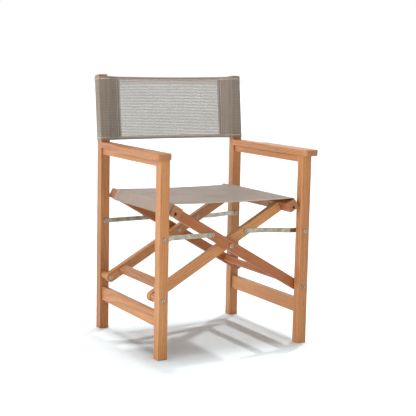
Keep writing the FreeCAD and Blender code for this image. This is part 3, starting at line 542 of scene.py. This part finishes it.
def stitches(name, points, normals, stitch, material):
    """Short rounded stitches along a path, each lying on the cloth. stitch is (length, gap, width)."""
    length, gap, width = stitch
    run = [0.0]
    for a, b in zip(points, points[1:]):
        run.append(run[-1] + (b - a).length)
    verts, faces = [], []

    def at(d):
        k = 0
        while k < len(run) - 2 and run[k + 1] < d:
            k += 1
        t = (d - run[k]) / max(run[k + 1] - run[k], 1e-9)
        return points[k].lerp(points[k + 1], t), normals[k].lerp(normals[k + 1], t).normalized()

    d = gap
    sides, rings = 6, 5
    while d + length < run[-1]:
        start, up = at(d)
        end, _ = at(d + length)
        forward = (end - start).normalized()
        across = forward.cross(up).normalized()
        base = len(verts)
        for r in range(rings):
            t = r / (rings - 1)
            arch = math.sin(math.pi * t)
            size = width / 2 * (0.35 + 0.65 * math.sqrt(max(arch, 0.0)))
            centre = start.lerp(end, t) + up * (width * 0.30 * arch - width * 0.05)
            for s in range(sides):
                a = math.tau * s / sides
                verts.append(centre + (across * math.cos(a) + up * math.sin(a) * 0.75) * size)
        for r in range(rings - 1):
            for s in range(sides):
                n = (s + 1) % sides
                faces.append((base + r * sides + s, base + r * sides + n,
                              base + (r + 1) * sides + n, base + (r + 1) * sides + s))
        faces.append(tuple(base + s for s in reversed(range(sides))))
        faces.append(tuple(base + (rings - 1) * sides + s for s in range(sides)))
        d += length + gap
    obj = new_object(name, verts, faces)
    obj.data.materials.append(material)
    return obj


# ---------------------------------------------------------------- the seat's sling
RAIL_HALF_WIDTH = 17 * MM
RAIL_HALF_HEIGHT = 16.5 * MM
GROOVE_DROP = 7 * MM       # how far the cloth's end goes into the rail's groove
SEAT_HEM = 11 * MM


def seat():
    rail_a = [Vector(c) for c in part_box("seat_rail_a")]
    rail_b = [Vector(c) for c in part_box("seat_rail_b")]
    centre_a, centre_b = (rail_a[0] + rail_a[1]) / 2, (rail_b[0] + rail_b[1]) / 2
    low, high = (Vector(c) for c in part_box("seat_sling"))
    half_w, half_h = RAIL_HALF_WIDTH + LIFT, RAIL_HALF_HEIGHT + LIFT

    def in_rail(centre, up, along, square):
        """A point at a rail, measured along its slats and square to them."""
        normal = Vector((-up.z if up.x > 0 else up.z, 0, abs(up.x)))
        return Vector((centre.x, 0, centre.z)) + up * along + normal * square

    def side(centre, up):
        """The cloth round one rail, from its groove to the seat."""
        return [in_rail(centre, up, 0, -GROOVE_DROP), in_rail(centre, up, 0, -half_h),
                in_rail(centre, up, half_w, -half_h), in_rail(centre, up, half_w, half_h)]

    left, right = side(centre_a, UP_A), side(centre_b, UP_B)
    path, run = resample(rounded_path(left + right[::-1], 3.4 * MM), 7 * MM)
    depth = high.y - low.y
    hem = SEAT_HEM
    rows = hem_rows(depth, hem, 7.5 * MM)
    half = left[-1].x
    total = run[-1]

    def dip(p, v):
        """Sag of the free span, a little deeper behind the middle, shallow at both hems."""
        share = (p.x - half) / (-2 * half)
        if share <= 0 or share >= 1 or p.z < left[-1].z - 4 * MM:
            return 0.0
        body = 4 * share * (1 - share)
        lengthwise = 0.78 + 0.22 * math.sin(math.pi * v / depth)
        return -4.4 * MM * body * lengthwise

    def wrinkle(p, v):
        """Faint pull lines that start at the rails and fade towards the middle."""
        share = min(abs(p.x - half), abs(p.x + half)) / abs(half)
        if p.z < left[-1].z - 4 * MM:
            return 0.0
        fade = math.exp(-share * 5.5) * min(1.0, share * 14)
        pull = math.sin(v * 170 + 1.3 * math.sin(v * 61)) + 0.6 * math.sin(v * 310 + 2)
        return 0.28 * MM * fade * pull

    def place(i, j):
        p = path[i]
        v = rows[j]
        # the front and rear edges are pulled in a little in the middle of the span
        share = min(max((p.x - half) / (-2 * half), 0), 1)
        pull = 2.2 * MM * 4 * share * (1 - share)
        y = low.y + v + pull * (1 - 2 * v / depth)
        return Vector((p.x, y, p.z + dip(p, v) + wrinkle(p, v)))

    def thickness(i, j):
        return hem_thickness(rows[j], depth, hem)

    sheet = cloth("seat_fabric", len(path), len(rows), place, thickness,
                  lambda i, j: (run[i] - total / 2, rows[j] - depth / 2))
    sheet.data.materials.append(mesh_fabric("seat_mesh", depth / 2 - hem, fuller=0.17, tint=0.91))
    pieces = [sheet]
    seam = thread("seat_thread")
    for name, v in (("front", hem - 2.6 * MM), ("rear", depth - hem + 2.6 * MM)):
        j = min(range(len(rows)), key=lambda k: abs(rows[k] - v))
        for face, sign in (("upper", 1), ("lower", -1)):
            points, normals = [], []
            for i in range(1, len(path) - 1):
                du = place(i + 1, j) - place(i - 1, j)
                up = Vector((-du.z, 0, du.x)).normalized() * sign
                offset = place(i, j)
                offset.y = offset.y + (v - rows[j])
                points.append(offset + up * PROUD)
                normals.append(up)
            pieces.append(stitches(f"seat_stitches_{name}_{face}", points[4:-4], normals[4:-4],
                                   HEM_STITCH, seam))
    for piece in pieces:
        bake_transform(piece)
    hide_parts("seat_sling")


# ---------------------------------------------------------------- the back's sling
LEAN = math.radians(6.8)      # of the back posts
POST_DEPTH = 31 * MM
SLEEVE_RUN = 39 * MM       # from a post's inner face to the seam
FLAP = 11 * MM             # of cloth behind the panel, beyond the seam
BACK_HEM = 10.5 * MM


def back():
    leg = [Vector(c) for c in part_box("rear_leg_right")]
    _, front_y, arm_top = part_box("arm_right")[1]
    inner, outer, depth = leg[0].x, leg[1].x, POST_DEPTH
    box = [Vector(c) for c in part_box("back_sling")]
    low_s = (box[0].z - arm_top) / math.cos(LEAN) + 4.0 * MM
    high_s = (box[1].z - arm_top) / math.cos(LEAN) - 0.2 * MM
    seam_x = inner - SLEEVE_RUN
    middle = depth / 2
    behind = FABRIC * 1.12
    rearward = Vector((0, math.cos(LEAN), -math.sin(LEAN)))

    def world(x, y, s):
        """A point given across the chair, back from the post's front, and up along the post."""
        return Vector((x, front_y + y * math.cos(LEAN) + s * math.sin(LEAN),
                       arm_top - y * math.sin(LEAN) + s * math.cos(LEAN)))

    # one strip: from the left flap behind the panel, round the left post, across, and back
    right = [(0.0, middle), (seam_x - 8 * MM, middle), (seam_x + 3 * MM, middle - 0.3 * MM),
             (inner - 1 * MM, -LIFT), (outer + LIFT, -LIFT), (outer + LIFT, depth + LIFT),
             (inner - 1 * MM, depth + LIFT), (seam_x + 3 * MM, middle + behind + 0.3 * MM),
             (seam_x - FLAP, middle + behind)]
    flat = [Vector((x, y, 0)) for x, y in right]
    mirrored = [Vector((-p.x, p.y, 0)) for p in reversed(flat[1:])]
    path, run = resample(rounded_path(mirrored + flat[1:], 2.5 * MM, 4), 6.5 * MM)
    total = run[-1]
    hem = BACK_HEM
    height = high_s - low_s
    rows = hem_rows(height, hem, 7 * MM)
    crossing = [abs(p.x) < seam_x for p in path]      # on the panel or on a flap behind it

    def place(i, j):
        p, s = path[i], rows[j]
        share = min(abs(p.x) / seam_x, 1.0)
        slack = 1 - share * share
        top_dip, bottom_rise = 2.0 * MM * slack, 1.2 * MM * slack
        level = low_s + s * (1 + (-top_dip - bottom_rise) / height) + bottom_rise
        # the sling was pulled up a little, more on the right post than on the left one
        right_share = (p.x / outer + 1) / 2
        low_pull, top_pull = 1.5 * MM * right_share, (2.4 + 3.2 * right_share) * MM
        level += low_pull + (top_pull - low_pull) * s / height
        panel = 1.0 if crossing[i] else 0.0
        bow = 3.0 * MM * slack * math.sin(math.pi * (0.12 + 0.76 * s / height)) * panel
        near = math.exp(-((abs(p.x) - seam_x) / (16 * MM)) ** 2) * panel
        pucker = 0.32 * MM * near * math.sin(s * 640 + (0.7 if p.x > 0 else 0))
        slow = 0.5 * MM * slack * math.sin(p.x * 21 + 1.2) * math.sin(s * 17 + 0.4) * panel
        around = 0.0
        if not crossing[i]:
            # the sleeve's slanting runs belly out a little between the post and the seam
            t = (abs(p.x) - seam_x) / (inner - seam_x)
            if 0 < t < 1:
                side = -1 if p.y < middle else 1
                around = side * (0.9 + 0.35 * math.sin(s * 75 + p.x * 9)) * MM * math.sin(math.pi * t)
        return world(p.x, p.y + bow + pucker + slow + around, level)

    def thickness(i, j):
        return hem_thickness(rows[j], height, hem)

    # three lengths that meet beside the seams: a sleeve on each post, and the panel between them
    across = [k for k in range(len(path)) if crossing[k] and path[k].y < middle + 0.5 * MM]
    cuts = (0, across[3], across[-4], len(path) - 1)
    lengths = {"left_sleeve": cuts[0:2], "panel": cuts[1:3], "right_sleeve": cuts[2:4]}
    mesh = mesh_fabric("back_mesh", height / 2 - hem, seam_x)
    seam = thread("back_thread")
    sets = {}
    for part, (first, last) in lengths.items():
        sheet = cloth(f"back_{part}", last - first + 1, len(rows),
                      lambda i, j: place(first + i, j), thickness,
                      lambda i, j: (run[first + i] - total / 2, rows[j] - height / 2))
        sheet.data.materials.append(mesh)
        sets[part] = [sheet]

    def row_stitches(name, v, side, first, last):
        """A line of stitches along one length of the strip at height v."""
        j = min(range(len(rows)), key=lambda k: abs(rows[k] - v))
        points, normals = [], []
        for i in range(max(first, 1), min(last, len(path) - 2) + 1):
            du = place(i + 1, j) - place(i - 1, j)
            dv = place(i, min(j + 1, len(rows) - 1)) - place(i, j - 1)
            normal = du.cross(dv).normalized()
            points.append(place(i, j) + dv.normalized() * (v - rows[j]) + normal * side * PROUD)
            normals.append(normal * side)
        return stitches(name, points, normals, HEM_STITCH, seam)

    for name, v in (("bottom", hem - 2.4 * MM), ("top", height - hem + 2.4 * MM)):
        for face, side in (("outer", 1), ("inner", -1)):
            for part, (first, last) in lengths.items():
                title = f"back_{part}_stitches_{name}_{face}"
                sets[part].append(row_stitches(title, v, side, first, last))
    for end, sign in (("left", -1), ("right", 1)):
        for k, inset in enumerate((-1.0 * MM, 8.0 * MM)):
            x = sign * (seam_x - inset)
            i = min(across, key=lambda index: abs(path[index].x - x))
            for face, side in (("front", -1), ("rear", 1)):
                up = rearward * side
                off = FABRIC * 0.56 if side < 0 else FABRIC * 0.56 + behind
                points = []
                for j in range(3, len(rows) - 3):
                    p = place(i, j)
                    p.x = x
                    points.append(p + up * off)
                sets[f"{end}_sleeve"].append(stitches(f"back_seam_{end}_{k}_{face}", points,
                                                      [up] * len(points), SEAM_STITCH, seam))
    for part, (first, last) in lengths.items():
        for piece in sets[part]:
            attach(piece, "side_right" if part == "right_sleeve" else "side_left")
            if part == "panel":
                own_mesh(piece)
        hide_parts("back_sling")


# ---------------------------------------------------------------- studio
CAMERA_ANGLES = (-28.978, 7.813, 1.222)      # azimuth, elevation and roll, solved from the photo
CAMERA_TARGET = (0.0002, -0.0532, 0.43736)
CAMERA_DISTANCE = 3.634
FOCAL_LENGTH, SENSOR_WIDTH = 95.43, 36       # mm
FLOOR_HALF = 30
FLOOR_DROP = 0.4 * MM      # keeps the floor clear of the feet
WORLD_LIGHT = 0.32
COVE_FADE = (-0.35, 0.45, 0.08, 1.6)         # over Y, from dark in front to bright behind


def area_light(name, where, target, size, power):
    """A square soft box. size is its side in metres and power is in watts."""
    data = bpy.data.lights.new(name, "AREA")
    data.size = size
    data.energy = power
    lamp = bpy.data.objects.new(name, data)
    lamp.location = where
    lamp.rotation_mode = "QUATERNION"
    lamp.rotation_quaternion = (Vector(target) - Vector(where)).to_track_quat("-Z", "Y")
    bpy.context.scene.collection.objects.link(lamp)
    return lamp


def sun(name, towards, strength, width):
    """A distant soft lamp. width is how wide it looks from the chair, in degrees."""
    data = bpy.data.lights.new(name, "SUN")
    data.energy = strength
    data.angle = math.radians(width)
    lamp = bpy.data.objects.new(name, data)
    lamp.rotation_mode = "QUATERNION"
    lamp.rotation_quaternion = Vector(towards).to_track_quat("Z", "Y")
    bpy.context.scene.collection.objects.link(lamp)
    return lamp


def backdrop():
    """A white cove. Polished faces see it bright behind the chair and dark in front of it."""
    world = bpy.data.worlds.new("studio")
    world.use_nodes = True
    tree = world.node_tree
    tree.nodes.clear()

    def background(strength):
        node = tree.nodes.new("ShaderNodeBackground")
        node.inputs["Color"].default_value = (1, 1, 1, 1)
        if isinstance(strength, float):
            node.inputs["Strength"].default_value = strength
        else:
            tree.links.new(strength, node.inputs["Strength"])
        return node.outputs[0]

    def choose(ray, no, yes):
        mix = tree.nodes.new("ShaderNodeMixShader")
        for socket, source in zip(mix.inputs, (path.outputs[ray], no, yes)):
            tree.links.new(source, socket)
        return mix.outputs[0]

    path = tree.nodes.new("ShaderNodeLightPath")
    towards = tree.nodes.new("ShaderNodeTexCoord").outputs["Generated"]
    parts = tree.nodes.new("ShaderNodeSeparateXYZ")
    tree.links.new(towards, parts.inputs[0])
    fade = tree.nodes.new("ShaderNodeMapRange")
    tree.links.new(parts.outputs["Y"], fade.inputs["Value"])
    for name, value in zip(("From Min", "From Max", "To Min", "To Max"), COVE_FADE):
        fade.inputs[name].default_value = value
    lit = choose("Is Glossy Ray", background(WORLD_LIGHT), background(fade.outputs[0]))
    output = tree.nodes.new("ShaderNodeOutputWorld")
    tree.links.new(choose("Is Camera Ray", lit, background(1.0)), output.inputs[0])
    bpy.context.scene.world = world


def studio():
    """The floor and the lamps. By light linking, the chair and the floor each have their own lamps."""
    corners = [(x * FLOOR_HALF, y * FLOOR_HALF, 0) for x, y in ((-1, -1), (1, -1), (1, 1), (-1, 1))]
    floor = new_object("floor", corners, [(0, 1, 2, 3)])
    floor.location.z = -FLOOR_DROP
    floor.data.materials.append(stage_paint())
    backdrop()
    chair_lamps = [
        sun("top", (-0.02, 0.20, 1.0), 1.4, 20),
        sun("key", (-0.92, -0.16, 0.36), 2.1, 28),
        area_light("fill", (-0.80, -1.55, 0.75), (-0.1, 0, 0.45), 0.8, 9.5),
    ]
    floor_lamps = [
        sun("floor_top", (0.0, 0.05, 1.0), 1.95, 24),
        sun("floor_back", (0.05, 0.20, 1.0), 0.6, 5),
        sun("floor_back_right", (0.51, 0.40, 0.75), 1.2, 3),
    ]
    for lamps, state in ((chair_lamps, "EXCLUDE"), (floor_lamps, "INCLUDE")):
        for lamp in lamps:
            receivers = bpy.data.collections.new(lamp.name + "_receivers")
            receivers.objects.link(floor)
            receivers.collection_objects[0].light_linking.link_state = state
            lamp.light_linking.receiver_collection = receivers
    bpy.context.scene.view_settings.view_transform = "Standard"
    bpy.context.scene.view_settings.look = "None"


def camera():
    azimuth, elevation, roll = (math.radians(a) for a in CAMERA_ANGLES)
    back_way = Vector((math.sin(azimuth) * math.cos(elevation), -math.cos(azimuth) * math.cos(elevation),
                       math.sin(elevation)))
    right = (-back_way).cross(Vector((0, 0, 1))).normalized()
    up = right.cross(-back_way)
    turned_right = right * math.cos(roll) + up * math.sin(roll)
    turned_up = up * math.cos(roll) - right * math.sin(roll)
    data = bpy.data.cameras.new("camera")
    data.sensor_width = SENSOR_WIDTH
    data.lens = FOCAL_LENGTH
    cam = bpy.data.objects.new("camera", data)
    basis = Matrix((turned_right, turned_up, back_way)).transposed().to_4x4()
    cam.matrix_world = Matrix.Translation(Vector(CAMERA_TARGET) + back_way * CAMERA_DISTANCE) @ basis
    bpy.context.scene.collection.objects.link(cam)
    bpy.context.scene.camera = cam


dress()
seat()
back()
studio()
camera()
